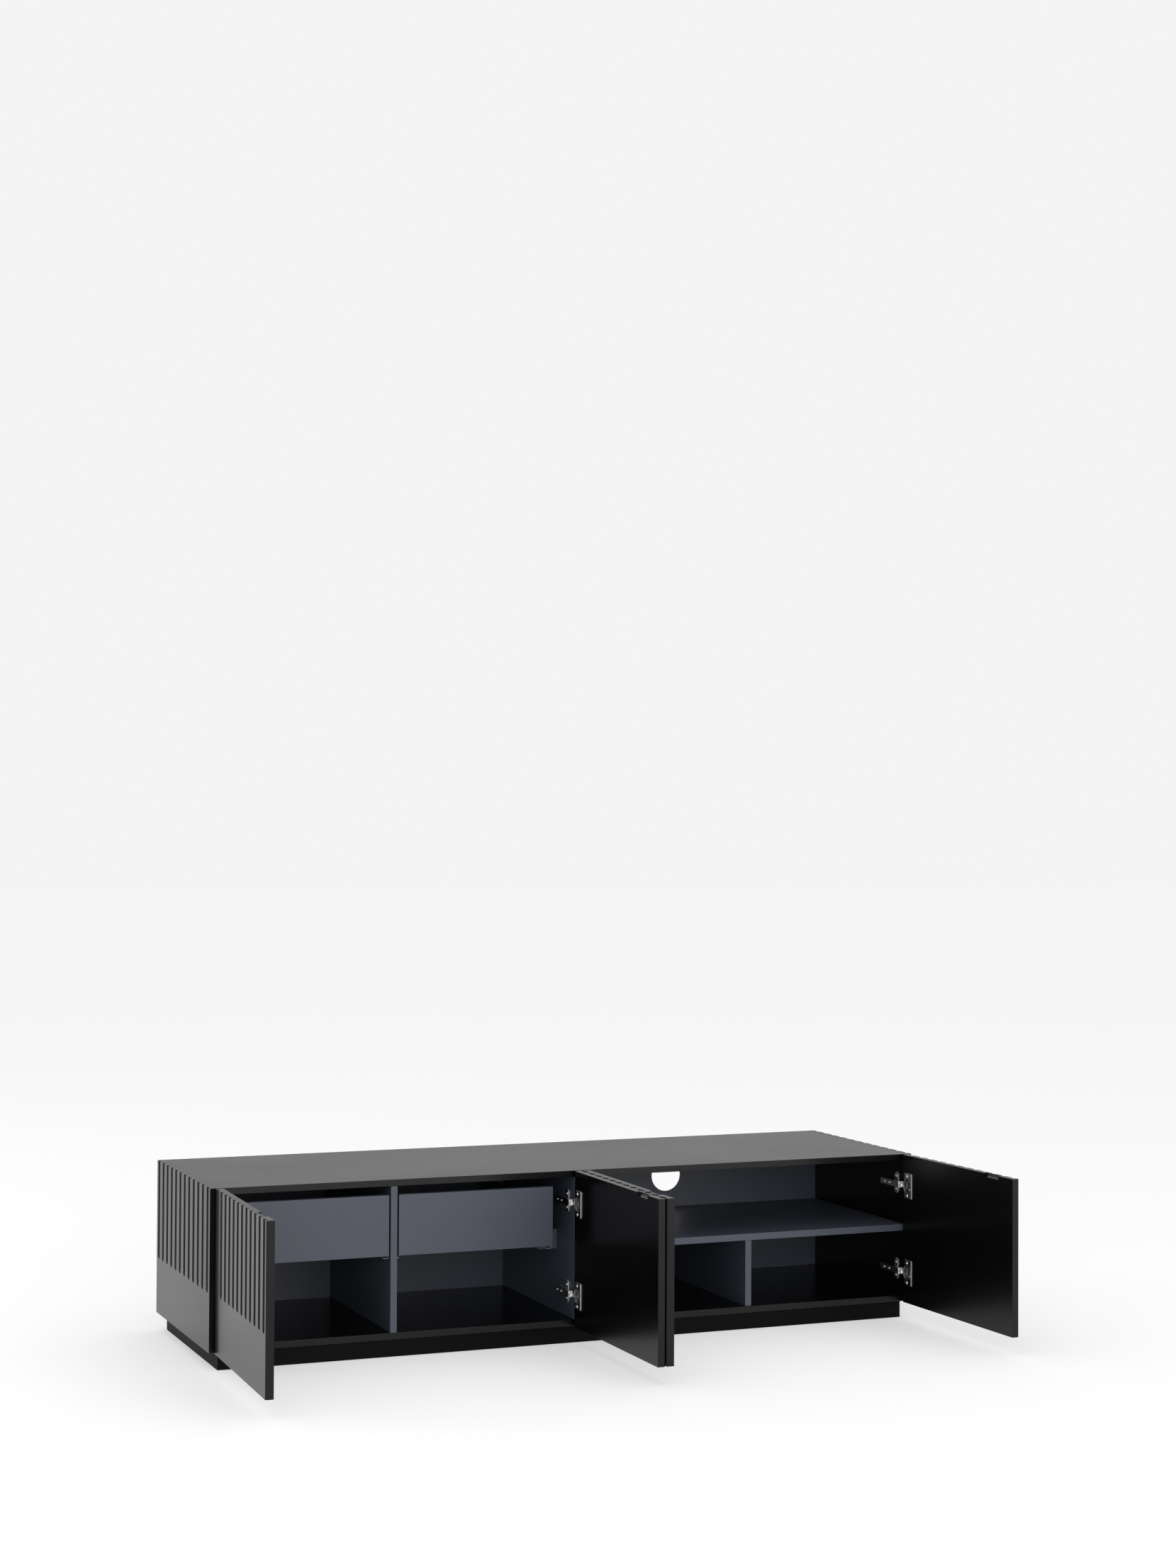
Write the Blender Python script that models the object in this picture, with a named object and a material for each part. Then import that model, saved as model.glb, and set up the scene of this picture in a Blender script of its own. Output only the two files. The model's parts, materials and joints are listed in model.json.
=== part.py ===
"""Low media cabinet with four fluted doors on concealed hinges, two inner drawers and an inner shelf.

The frame's origin is the middle of the cabinet's footprint with its doors standing open, on the floor.
+X runs to the right along the front, -Y out of the front and +Z up. Lengths are in metres.
Inside the functions "depth" is measured backwards from the carcass's front plane, and a door is drawn
closed, "across" from its hinge edge and "out" from the front plane, then turned open about its pivot.
"""

from math import cos, pi, radians, sin

import bmesh
import bpy
from mathutils import Vector

# Carcass
WIDTH = 1.800
DEPTH = 0.480
HEIGHT = 0.406
PLINTH_HEIGHT = 0.042
SIDE_THICKNESS = 0.018
TOP_THICKNESS = 0.015
BOARD = 0.016
BACK_THICKNESS = 0.004
BACK_DEPTH = 0.442
GAP = 0.0003  # between pieces that touch

# Plinth, set in from the carcass on each side
PLINTH_END_INSET = 0.0235
PLINTH_FRONT_INSET = 0.0136
PLINTH_BACK_INSET = 0.011

# Inside
DRAWER_DIVIDER_X = -0.4658
SHELF_DIVIDER_X = 0.4468
SHELF_UNDERSIDE = 0.2157
DIVIDER_SETBACK = 0.0005
SHELF_SETBACK = 0.0042
CABLE_HOLE_X = 0.4405
CABLE_HOLE_Z = 0.313
CABLE_HOLE_RADIUS = 0.041
CABLE_HOLE_SIDES = 32

# Doors
DOOR_THICKNESS = 0.018
DOOR_GAP = 0.003  # between two closed doors, and behind a closed door
DOOR_CHAMFER = 0.002
OUTER_OPEN_ANGLE = radians(92)
MIDDLE_OPEN_ANGLE = radians(90)
OUTER_PIVOT = (0.0115, 0.0186)  # across and out
MIDDLE_PIVOT = (0.0065, 0.0145)
NOTCH_RADIUS = 0.009
NOTCH_LENGTH = 0.058
NOTCH_FROM_FREE_EDGE = 0.055

# Fluting
FLUTES = 12
FLUTE_WIDTH = 0.0175
FLUTE_DEPTH = 0.005
FLUTE_SHARE = 0.645  # of the panel's height, from the top
FLUTE_SIDES = 16
FLUTE_END_RINGS = 3

# Concealed hinges
HINGE_SPREAD = 0.107  # each hinge from the middle of the door's height
CUP_INSET = 0.0215  # cup centre from the door's hinge edge
CUP_RADIUS = 0.0173
CUP_WALL = 0.001
CUP_DEPTH = 0.0109
CUP_CLEARANCE = 0.0005
FLANGE = (0.023, 0.062, 0.0015)  # across, upright, thick
ARM_HALF_HEIGHT = 0.00725
ARM_REAR = 0.085
ARM_FRONT = 0.0005  # its end, out from the front plane
PLATE = (0.016, 0.052, 0.002)  # deep, upright, thick
PLATE_SETBACK = 0.037
OUTER_ARM_TOP = 0.0345
OUTER_NOSE = (0.0300, 0.0115)  # its near side across, its reach out
MIDDLE_ARM_TOP = 0.0285
MIDDLE_NOSE = (0.0210, 0.0090)
CUP_SIDES = 24

# Drawers
FRONT_WIDTH = 0.383
FRONT_BOTTOM = 0.2317
FRONT_TOP = 0.3705
FRONT_SETBACK = 0.001
FRONT_TO_DIVIDER = 0.004
BOX_INSET = 0.012  # drawer box from each end of its front
BOX_LENGTH = 0.400
BOX_BOTTOM = 0.239
BOX_TOP = 0.337
BOX_BOARD = 0.012
BASE_THICKNESS = 0.005
BASE_HEIGHT = 0.0063  # above the lower edge of the sides

# Runners
RAIL_TOP = 0.2385
RAIL_HEIGHT = 0.016
RAIL_START = 0.020
RAIL_LENGTH = 0.400
RAIL_TO_BOX = 0.006
ANGLE_THICKNESS = 0.0015
ANGLE_HEIGHT = 0.017
ANGLE_FLANGE = 0.012
ANGLE_START = 0.047
ANGLE_LENGTH = 0.360
PACKER_HEIGHT = 0.047
PACKER_START = 0.100

RAIL_WIDTH = BOX_INSET + FRONT_TO_DIVIDER - RAIL_TO_BOX - GAP
DOOR_WIDTH = (WIDTH - 4 * DOOR_GAP) / 4
BODY_HEIGHT = HEIGHT - PLINTH_HEIGHT
FLOOR_TOP = PLINTH_HEIGHT + TOP_THICKNESS
CEILING = HEIGHT - TOP_THICKNESS
SIDE_INNER = WIDTH / 2 - SIDE_THICKNESS
PARTITION_FACE = BOARD + GAP
FLUTE_RADIUS = (FLUTE_WIDTH**2 / 4 + FLUTE_DEPTH**2) / (2 * FLUTE_DEPTH)
FLUTE_END = HEIGHT - FLUTE_SHARE * BODY_HEIGHT
DOOR_MIDDLE = (HEIGHT + PLINTH_HEIGHT) / 2
OPEN_REACH = (
    OUTER_PIVOT[1]
    + (DOOR_WIDTH - OUTER_PIVOT[0]) * sin(OUTER_OPEN_ANGLE)
    + (DOOR_GAP - OUTER_PIVOT[1]) * cos(OUTER_OPEN_ANGLE)
)
FRONT_Y = (OPEN_REACH - DEPTH) / 2

LACQUER = ("black_lacquer", (0.018, 0.018, 0.019), 0.42, 0.0)
GRAPHITE = ("graphite_board", (0.075, 0.090, 0.112), 0.55, 0.0)
NICKEL = ("nickel_steel", (0.62, 0.60, 0.57), 0.30, 1.0)
RUNNER_STEEL = ("grey_steel", (0.24, 0.25, 0.27), 0.45, 0.6)


def clear_scene():
    for scene_object in list(bpy.data.objects):
        bpy.data.objects.remove(scene_object, do_unlink=True)


def material(finish):
    """The finish's material, made once."""
    name, colour, roughness, metallic = finish
    made = bpy.data.materials.get(name)
    if made is None:
        made = bpy.data.materials.new(name)
        made.use_nodes = True
        shader = made.node_tree.nodes["Principled BSDF"]
        shader.inputs["Base Color"].default_value = (*colour, 1.0)
        shader.inputs["Roughness"].default_value = roughness
        shader.inputs["Metallic"].default_value = metallic
    return made


def place(name, mesh, finish, location=(0, 0, 0), turn=0.0):
    """One named piece, with its origin at location and turned about Z."""
    mesh.name = name
    mesh.materials.clear()
    mesh.materials.append(material(finish))
    piece = bpy.data.objects.new(name, mesh)
    piece.location = location
    piece.rotation_euler.z = turn
    bpy.context.scene.collection.objects.link(piece)
    return piece


def mesh_of(shape):
    """The bmesh as a mesh with its faces pointing out."""
    bmesh.ops.recalc_face_normals(shape, faces=shape.faces)
    mesh = bpy.data.meshes.new("shape")
    shape.to_mesh(mesh)
    shape.free()
    return mesh


def add_prism(shape, outline, low, high):
    """A closed prism on the XY outline from low to high."""
    lower = [shape.verts.new((x, y, low)) for x, y in outline]
    upper = [shape.verts.new((x, y, high)) for x, y in outline]
    shape.faces.new(lower)
    shape.faces.new(upper)
    for i in range(len(outline)):
        j = (i + 1) % len(outline)
        shape.faces.new((lower[i], lower[j], upper[j], upper[i]))


def add_box(shape, low, high):
    outline = [(low[0], low[1]), (high[0], low[1]), (high[0], high[1]), (low[0], high[1])]
    add_prism(shape, outline, low[2], high[2])


def add_cylinder(shape, start, end, radius, sides):
    """A closed cylinder between two points."""
    axis = Vector(end) - Vector(start)
    first = axis.orthogonal().normalized() * radius
    second = axis.normalized().cross(first)
    rings = []
    for centre in (Vector(start), Vector(end)):
        turns = [2 * pi * i / sides for i in range(sides)]
        rings.append([shape.verts.new(centre + first * cos(t) + second * sin(t)) for t in turns])
    shape.faces.new(rings[0])
    shape.faces.new(rings[1])
    for i in range(sides):
        j = (i + 1) % sides
        shape.faces.new((rings[0][i], rings[0][j], rings[1][j], rings[1][i]))


def add_groove(shape, x, y, low, high, radius):
    """An upright round bar with a domed lower end, which cuts one flute."""
    levels = [(high, radius), (low + radius, radius)]
    for ring in range(1, FLUTE_END_RINGS):
        angle = pi / 2 * ring / FLUTE_END_RINGS
        levels.append((low + radius - radius * sin(angle), radius * cos(angle)))
    rings = []
    for z, reach in levels:
        turns = [2 * pi * (i + 0.5) / FLUTE_SIDES for i in range(FLUTE_SIDES)]
        rings.append([shape.verts.new((x + reach * cos(t), y + reach * sin(t), z)) for t in turns])
    tip = shape.verts.new((x, y, low))
    shape.faces.new(rings[0])
    for i in range(FLUTE_SIDES):
        j = (i + 1) % FLUTE_SIDES
        for upper, lower in zip(rings, rings[1:]):
            shape.faces.new((upper[i], upper[j], lower[j], lower[i]))
        shape.faces.new((rings[-1][i], rings[-1][j], tip))


def combined(base, tool, operation):
    """The mesh of base with tool joined to it or cut from it."""
    owner = bpy.data.objects.new("base", base)
    helper = bpy.data.objects.new("tool", tool)
    for temporary in (owner, helper):
        bpy.context.scene.collection.objects.link(temporary)
    modifier = owner.modifiers.new("combine", "BOOLEAN")
    modifier.operation = operation
    modifier.object = helper
    bpy.context.view_layer.update()
    evaluated = owner.evaluated_get(bpy.context.evaluated_depsgraph_get())
    result = bpy.data.meshes.new_from_object(evaluated)
    for temporary in (owner, helper):
        bpy.data.objects.remove(temporary, do_unlink=True)
    return result


def board(name, finish, x, depth, z):
    """A flat board between (low, high) pairs; depth counts back from the carcass's front plane."""
    shape = bmesh.new()
    add_box(shape, (x[0], FRONT_Y + depth[0], z[0]), (x[1], FRONT_Y + depth[1], z[1]))
    return place(name, mesh_of(shape), finish)


# Carcass ---------------------------------------------------------------------------------------


def side_panel(name, side):
    """A side board with flutes in its outer face, cut through its top edge."""
    outer = side * WIDTH / 2
    body = bmesh.new()
    edges = sorted((outer, side * SIDE_INNER))
    add_box(body, (edges[0], FRONT_Y, PLINTH_HEIGHT), (edges[1], FRONT_Y + DEPTH, HEIGHT))
    flutes = bmesh.new()
    pitch = DEPTH / FLUTES
    axis_x = outer + side * (FLUTE_RADIUS - FLUTE_DEPTH)
    for i in range(FLUTES):
        y = FRONT_Y + (i + 0.5) * pitch
        add_groove(flutes, axis_x, y, FLUTE_END, HEIGHT + FLUTE_RADIUS, FLUTE_RADIUS)
    place(name, combined(mesh_of(body), mesh_of(flutes), "DIFFERENCE"), LACQUER)


def carcass():
    inner = SIDE_INNER - GAP
    board("top_panel", LACQUER, (-inner, inner), (0, DEPTH), (CEILING, HEIGHT))
    board("bottom_panel", LACQUER, (-inner, inner), (0, DEPTH), (PLINTH_HEIGHT, FLOOR_TOP))
    side_panel("side_panel_left", -1)
    side_panel("side_panel_right", 1)
    upright = (FLOOR_TOP + GAP, CEILING - GAP)
    back_to = BACK_DEPTH - GAP
    board("partition_left", GRAPHITE, (-PARTITION_FACE, -GAP / 2), (0, back_to), upright)
    board("partition_right", GRAPHITE, (GAP / 2, PARTITION_FACE), (0, back_to), upright)
    drawer_divider = (DRAWER_DIVIDER_X - BOARD / 2, DRAWER_DIVIDER_X + BOARD / 2)
    board("drawer_divider", GRAPHITE, drawer_divider, (DIVIDER_SETBACK, back_to), upright)
    shelf_x = (PARTITION_FACE + GAP, inner)
    shelf_z = (SHELF_UNDERSIDE, SHELF_UNDERSIDE + BOARD)
    board("shelf", GRAPHITE, shelf_x, (SHELF_SETBACK, back_to), shelf_z)
    shelf_divider = (SHELF_DIVIDER_X - BOARD / 2, SHELF_DIVIDER_X + BOARD / 2)
    below_shelf = (FLOOR_TOP + GAP, SHELF_UNDERSIDE - GAP)
    board("shelf_divider", GRAPHITE, shelf_divider, (SHELF_SETBACK, back_to), below_shelf)


def back_panel():
    """The thin back, with a round hole for cables."""
    inner = SIDE_INNER - GAP
    front = FRONT_Y + BACK_DEPTH
    body = bmesh.new()
    add_box(body, (-inner, front, FLOOR_TOP + GAP), (inner, front + BACK_THICKNESS, CEILING - GAP))
    hole = bmesh.new()
    start = (CABLE_HOLE_X, front - BACK_THICKNESS, CABLE_HOLE_Z)
    end = (CABLE_HOLE_X, front + 2 * BACK_THICKNESS, CABLE_HOLE_Z)
    add_cylinder(hole, start, end, CABLE_HOLE_RADIUS, CABLE_HOLE_SIDES)
    place("back_panel", combined(mesh_of(body), mesh_of(hole), "DIFFERENCE"), GRAPHITE)


def plinth():
    z = (0, PLINTH_HEIGHT - GAP)
    end_outer = WIDTH / 2 - PLINTH_END_INSET
    front = (PLINTH_FRONT_INSET, PLINTH_FRONT_INSET + BOARD)
    back = (DEPTH - PLINTH_BACK_INSET - BOARD, DEPTH - PLINTH_BACK_INSET)
    between = (front[1] + GAP, back[0] - GAP)
    board("plinth_front", LACQUER, (-end_outer, end_outer), front, z)
    board("plinth_back", LACQUER, (-end_outer, end_outer), back, z)
    board("plinth_left", LACQUER, (-end_outer, BOARD - end_outer), between, z)
    board("plinth_right", LACQUER, (end_outer - BOARD, end_outer), between, z)
    board("plinth_rail", LACQUER, (-BOARD / 2, BOARD / 2), between, z)


# Doors and hinges ------------------------------------------------------------------------------


def door_outline():
    """The closed door's section, chamfered along its two outer edges and its inner hinge corner."""
    inner = DOOR_GAP
    outer = DOOR_GAP + DOOR_THICKNESS
    cut = DOOR_CHAMFER
    return [
        (0, inner + cut),
        (cut, inner),
        (DOOR_WIDTH, inner),
        (DOOR_WIDTH, outer - cut),
        (DOOR_WIDTH - cut, outer),
        (cut, outer),
        (0, outer - cut),
    ]


def door_cutters(pivot, side):
    """Flutes, cup pockets and the finger notch of one door, as a mesh of separate bars."""
    shape = bmesh.new()
    outer = DOOR_GAP + DOOR_THICKNESS
    pitch = DOOR_WIDTH / FLUTES
    axis_out = outer + FLUTE_RADIUS - FLUTE_DEPTH
    for i in range(FLUTES):
        across = (i + 0.5) * pitch
        x, y = closed_place(across, axis_out, pivot, side)
        add_groove(shape, x, y, FLUTE_END, HEIGHT + FLUTE_RADIUS, FLUTE_RADIUS)
    for z in hinge_heights():
        x, mouth = closed_place(CUP_INSET, 0, pivot, side)
        _, floor = closed_place(CUP_INSET, DOOR_GAP + CUP_DEPTH + GAP, pivot, side)
        add_cylinder(shape, (x, mouth, z), (x, floor, z), CUP_RADIUS + CUP_CLEARANCE, CUP_SIDES)
    notch_end = DOOR_WIDTH - NOTCH_FROM_FREE_EDGE
    start_x, y = closed_place(notch_end - NOTCH_LENGTH, DOOR_GAP, pivot, side)
    end_x, _ = closed_place(notch_end, DOOR_GAP, pivot, side)
    add_cylinder(shape, (start_x, y, HEIGHT), (end_x, y, HEIGHT), NOTCH_RADIUS, FLUTE_SIDES)
    return mesh_of(shape)


def closed_place(across, out, pivot, side):
    """A point of a closed door, relative to its pivot."""
    return side * (across - pivot[0]), pivot[1] - out


def hinge_heights():
    return DOOR_MIDDLE + HINGE_SPREAD, DOOR_MIDDLE - HINGE_SPREAD


def hinge_cup(pivot, side, z):
    """The cup sunk in the door, with its upright flange on the door's inner face."""
    seat = DOOR_GAP - GAP
    width, height, thickness = FLANGE
    flange = bmesh.new()
    near = closed_place(CUP_INSET - width / 2, seat, pivot, side)
    far = closed_place(CUP_INSET + width / 2, seat - thickness, pivot, side)
    outline = [near, (far[0], near[1]), far, (near[0], far[1])]
    add_prism(flange, outline, z - height / 2, z + height / 2)
    bowl = bmesh.new()
    x, rim = closed_place(CUP_INSET, seat - GAP, pivot, side)
    _, floor = closed_place(CUP_INSET, DOOR_GAP + CUP_DEPTH, pivot, side)
    add_cylinder(bowl, (x, rim, z), (x, floor, z), CUP_RADIUS, CUP_SIDES)
    hollow = bmesh.new()
    _, mouth = closed_place(CUP_INSET, 0, pivot, side)
    _, cavity = closed_place(CUP_INSET, DOOR_GAP + CUP_DEPTH - CUP_WALL, pivot, side)
    add_cylinder(hollow, (x, mouth, z), (x, cavity, z), CUP_RADIUS - CUP_WALL, CUP_SIDES)
    cup = combined(mesh_of(flange), mesh_of(bowl), "UNION")
    return combined(cup, mesh_of(hollow), "DIFFERENCE")


def hinge_arm(edge_x, side, face, arm_top, nose, z):
    """The arm with its nose, joined to the mounting plate on the upright board beside it."""

    def spot(across, out):
        return edge_x + side * across, FRONT_Y - out

    depth, height, thickness = PLATE
    seat = face + GAP
    arm_foot = seat + thickness / 2
    outline = [
        spot(arm_foot, -ARM_REAR),
        spot(arm_top, -ARM_REAR),
        spot(arm_top, nose[1]),
        spot(nose[0], nose[1]),
        spot(nose[0], ARM_FRONT),
        spot(arm_foot, ARM_FRONT),
    ]
    arm = bmesh.new()
    add_prism(arm, outline, z - ARM_HALF_HEIGHT, z + ARM_HALF_HEIGHT)
    front = depth / 2 - PLATE_SETBACK
    rear = -depth / 2 - PLATE_SETBACK
    plate_outline = [
        spot(seat, front),
        spot(seat + thickness, front),
        spot(seat + thickness, rear),
        spot(seat, rear),
    ]
    plate = bmesh.new()
    add_prism(plate, plate_outline, z - height / 2, z + height / 2)
    return combined(mesh_of(plate), mesh_of(arm), "UNION")


def door(label, edge_x, side, pivot, angle, face, arm_top, nose):
    """One open door with its two hinges; side is +1 when the hinge edge is its left edge."""
    at = (edge_x + side * pivot[0], FRONT_Y - pivot[1], 0)
    turn = -side * angle
    slab = bmesh.new()
    outline = [closed_place(across, out, pivot, side) for across, out in door_outline()]
    add_prism(slab, outline, PLINTH_HEIGHT, HEIGHT)
    leaf = combined(mesh_of(slab), door_cutters(pivot, side), "DIFFERENCE")
    place(f"door_{label}", leaf, LACQUER, at, turn)
    for position, z in zip(("upper", "lower"), hinge_heights()):
        cup = hinge_cup(pivot, side, z)
        place(f"hinge_cup_{label}_{position}", cup, NICKEL, at, turn)
        arm = hinge_arm(edge_x, side, face, arm_top, nose, z)
        place(f"hinge_arm_{label}_{position}", arm, NICKEL)


def doors():
    """Two outer doors hinged on the side panels and two middle doors hinged on the partition."""
    outer_edge = (WIDTH - DOOR_GAP) / 2
    middle_edge = DOOR_GAP / 2
    outer_face = outer_edge - SIDE_INNER
    middle_face = PARTITION_FACE - middle_edge
    outer = (OUTER_PIVOT, OUTER_OPEN_ANGLE, outer_face, OUTER_ARM_TOP, OUTER_NOSE)
    middle = (MIDDLE_PIVOT, MIDDLE_OPEN_ANGLE, middle_face, MIDDLE_ARM_TOP, MIDDLE_NOSE)
    door("outer_left", -outer_edge, 1, *outer)
    door("middle_left", -middle_edge, -1, *middle)
    door("middle_right", middle_edge, 1, *middle)
    door("outer_right", outer_edge, -1, *outer)


# Drawers and runners ---------------------------------------------------------------------------


def drawer_box(label, left):
    """A front and the four boards of the box behind it; left is the front's left end."""
    right = left + FRONT_WIDTH
    front = (FRONT_SETBACK, FRONT_SETBACK + BOARD)
    board(f"drawer_{label}_front", GRAPHITE, (left, right), front, (FRONT_BOTTOM, FRONT_TOP))
    start = front[1] + GAP
    end = start + BOX_LENGTH
    sides_z = (BOX_BOTTOM, BOX_TOP)
    box_left = left + BOX_INSET
    box_right = right - BOX_INSET
    board(f"drawer_{label}_side_left", GRAPHITE, (box_left, box_left + BOX_BOARD), (start, end), sides_z)
    board(f"drawer_{label}_side_right", GRAPHITE, (box_right - BOX_BOARD, box_right), (start, end), sides_z)
    inner = (box_left + BOX_BOARD + GAP, box_right - BOX_BOARD - GAP)
    board(f"drawer_{label}_back", GRAPHITE, inner, (end - BOX_BOARD, end), sides_z)
    base = (BOX_BOTTOM + BASE_HEIGHT, BOX_BOTTOM + BASE_HEIGHT + BASE_THICKNESS)
    board(f"drawer_{label}_base", GRAPHITE, inner, (start, end - BOX_BOARD - GAP), base)


def runner(label, box_face, side):
    """A rail on the cabinet and the steel angle that slides over it, at one side of a drawer."""
    near = box_face + side * RAIL_TO_BOX
    rail = sorted((near, near + side * RAIL_WIDTH))
    rail_z = (RAIL_TOP - RAIL_HEIGHT, RAIL_TOP)
    board(f"runner_rail_{label}", RUNNER_STEEL, rail, (RAIL_START, RAIL_START + RAIL_LENGTH), rail_z)
    leg = box_face + side * GAP
    flange_z = RAIL_TOP + GAP
    y_start = FRONT_Y + ANGLE_START
    outline = [
        (leg, flange_z),
        (leg + side * ANGLE_FLANGE, flange_z),
        (leg + side * ANGLE_FLANGE, flange_z + ANGLE_THICKNESS),
        (leg + side * ANGLE_THICKNESS, flange_z + ANGLE_THICKNESS),
        (leg + side * ANGLE_THICKNESS, flange_z + ANGLE_HEIGHT),
        (leg, flange_z + ANGLE_HEIGHT),
    ]
    shape = bmesh.new()
    near_end = [shape.verts.new((x, y_start, z)) for x, z in outline]
    far_end = [shape.verts.new((x, y_start + ANGLE_LENGTH, z)) for x, z in outline]
    shape.faces.new(near_end)
    shape.faces.new(far_end)
    for i in range(len(outline)):
        j = (i + 1) % len(outline)
        shape.faces.new((near_end[i], near_end[j], far_end[j], far_end[i]))
    place(f"runner_angle_{label}", mesh_of(shape), RUNNER_STEEL)


def packer(label, board_face, box_face, side):
    """The strip that holds a drawer's hinge-side rail away from the upright board."""
    rail_back = box_face + side * (RAIL_TO_BOX + RAIL_WIDTH + GAP)
    x = sorted((rail_back, board_face - side * GAP))
    middle = RAIL_TOP - RAIL_HEIGHT / 2
    z = (middle - PACKER_HEIGHT / 2, middle + PACKER_HEIGHT / 2)
    board(f"runner_packer_{label}", GRAPHITE, x, (PACKER_START, RAIL_START + RAIL_LENGTH), z)


def drawers():
    divider_left = DRAWER_DIVIDER_X - BOARD / 2
    divider_right = DRAWER_DIVIDER_X + BOARD / 2
    fitted = (
        ("left", divider_left - FRONT_TO_DIVIDER - FRONT_WIDTH, -1, -SIDE_INNER),
        ("right", divider_right + FRONT_TO_DIVIDER, 1, -PARTITION_FACE),
    )
    for label, left, packer_side, packed_face in fitted:
        drawer_box(label, left)
        middle = left + FRONT_WIDTH / 2
        half_box = FRONT_WIDTH / 2 - BOX_INSET
        packed_box_face = middle + packer_side * half_box
        runner(f"{label}_packer", packed_box_face, packer_side)
        runner(f"{label}_divider", middle - packer_side * half_box, -packer_side)
        packer(label, packed_face, packed_box_face, packer_side)


clear_scene()
carcass()
back_panel()
plinth()
doors()
drawers()
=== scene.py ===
"""Looks of the media cabinet: fine fluting, hinges, runners and finishes, in a plain pale studio.

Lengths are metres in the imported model's frame: +X to the right along the front, -Y out of the front
and +Z up. A door is drawn closed, "across" from its hinge edge and "out" from the carcass's front
plane, and then turned open about its hinge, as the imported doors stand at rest.
"""

import json
from math import cos, pi, radians, sin

import bmesh
import bpy
from mathutils import Matrix, Vector


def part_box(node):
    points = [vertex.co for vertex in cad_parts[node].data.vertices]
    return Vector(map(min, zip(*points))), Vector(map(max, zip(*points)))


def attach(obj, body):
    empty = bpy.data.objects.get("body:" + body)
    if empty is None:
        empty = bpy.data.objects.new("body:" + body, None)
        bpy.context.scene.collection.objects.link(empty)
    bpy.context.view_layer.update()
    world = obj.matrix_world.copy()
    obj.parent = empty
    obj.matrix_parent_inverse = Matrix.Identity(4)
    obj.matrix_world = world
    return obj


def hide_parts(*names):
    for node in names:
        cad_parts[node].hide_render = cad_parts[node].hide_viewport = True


# Doors and fluted panels
DOOR_GAP = 0.003  # between two closed doors, and behind a closed door
DOOR_THICKNESS = 0.018
DOOR_CHAMFER = 0.002
DOORS_ACROSS = 4
FLUTES = 12
FLUTE_WIDTH = 0.0175
FLUTE_DEPTH = 0.005
FLUTE_SHARE = 0.645  # of the panel's height, from the top
FLUTE_SIDES = 72
FLUTE_END_RINGS = 12
NOTCH_RADIUS = 0.009
NOTCH_LENGTH = 0.058
NOTCH_FROM_FREE_EDGE = 0.055
NOTCH_SIDES = 48
POCKET_RADIUS = 0.0178
POCKET_DEPTH = 0.0112
PIVOTS = {"outer": (0.0115, 0.0186), "middle": (0.0065, 0.0145)}  # across and out

# Hinges
HINGE_SPREAD = 0.107  # each hinge from the middle of the door's height
CUP_INSET = 0.0215
CUP_RADIUS = 0.0173
CUP_WALL = 0.001
CUP_DEPTH = 0.0105
CUP_FILLET = 0.0018
CUP_SIDES = 48
FLANGE_HEIGHT = 0.062
FLANGE_REACH = (0.0115, 0.0178)  # from the cup's centre towards the hinge edge and away from it
FLANGE_CORNER = 0.0025
FLANGE_SEAT = 0.0003  # between a flange or plate and the board it lies on
FLANGE_THICKNESS = 0.0019
CUP_SCREWS = 0.024  # above and below the cup's centre
DAMPER_INSET = 0.0135  # the housing's middle from the door's hinge edge
DAMPER_SIZE = (0.011, 0.020)  # across and up
DAMPER_CORNER = 0.004
DAMPER_TOP = 0.0042  # how deep in the cup the housing's top lies
PIN_INSET = 0.0165
PIN_DEPTH = 0.004
PIN_RADIUS = 0.0016
PIN_LENGTH = 0.022
PIN_SIDES = 20
ARM_TOPS = {"outer": 0.0345, "middle": 0.0285}
NOSES = {"outer": (0.0300, 0.0115), "middle": (0.0210, 0.0090)}  # near side across, reach out
ARM_HALF_HEIGHT = 0.00725
ARM_REAR = 0.085  # behind the carcass's front plane
ARM_FRONT = 0.0005  # in front of it
ARM_END_DEPTH = 0.003
ARM_CLEARANCE = 0.0035  # between the upright board's face and the arm's folded sides
ARM_CUTS = (0.0060, 0.0075)  # the same at the sides' front and rear ends
ARM_CUT_SETBACKS = (0.030, 0.073)
SHEET = 0.0012  # the steel of the arms and rails
ARM_SCREWS = (0.043, 0.066)
ARM_SCREW_RADIUS = 0.0034
RIBS = 6
RIB_HEIGHT = 0.0006
RIB_HALF_WIDTH = 0.0008
RIB_SLOPE = 0.0005
NOSE_HALF_HEIGHT = 0.003
NOSE_INSETS = (0.0002, 0.0006, 0.0020)  # below the arm's top at the nose's root, shoulder and tip
NOSE_SHOULDER = 0.001  # back from the tip
PLATE_THICKNESS = 0.002
PLATE_SETBACK = 0.037
PLATE_SIZE = (0.016, 0.052)  # back and up
PLATE_CORNER = 0.0079
PLATE_SCREWS = 0.016
SPINE_SETBACK = 0.057
SPINE_SIZE = (0.054, 0.0125)
SPINE_CORNER = 0.003
SPINE_RISE = 0.0012

# Screw heads
SCREW_RADIUS = 0.0036
SCREW_SIDES = 24
SCREW_CROWN = 0.45  # the crown's height, as a share of the head's radius
SCREW_CROSS = (0.55, 0.13)  # half length and half width of the recess's arms, as shares of the radius
CROSS_FLOOR = 0.35  # of the crown's height

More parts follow.
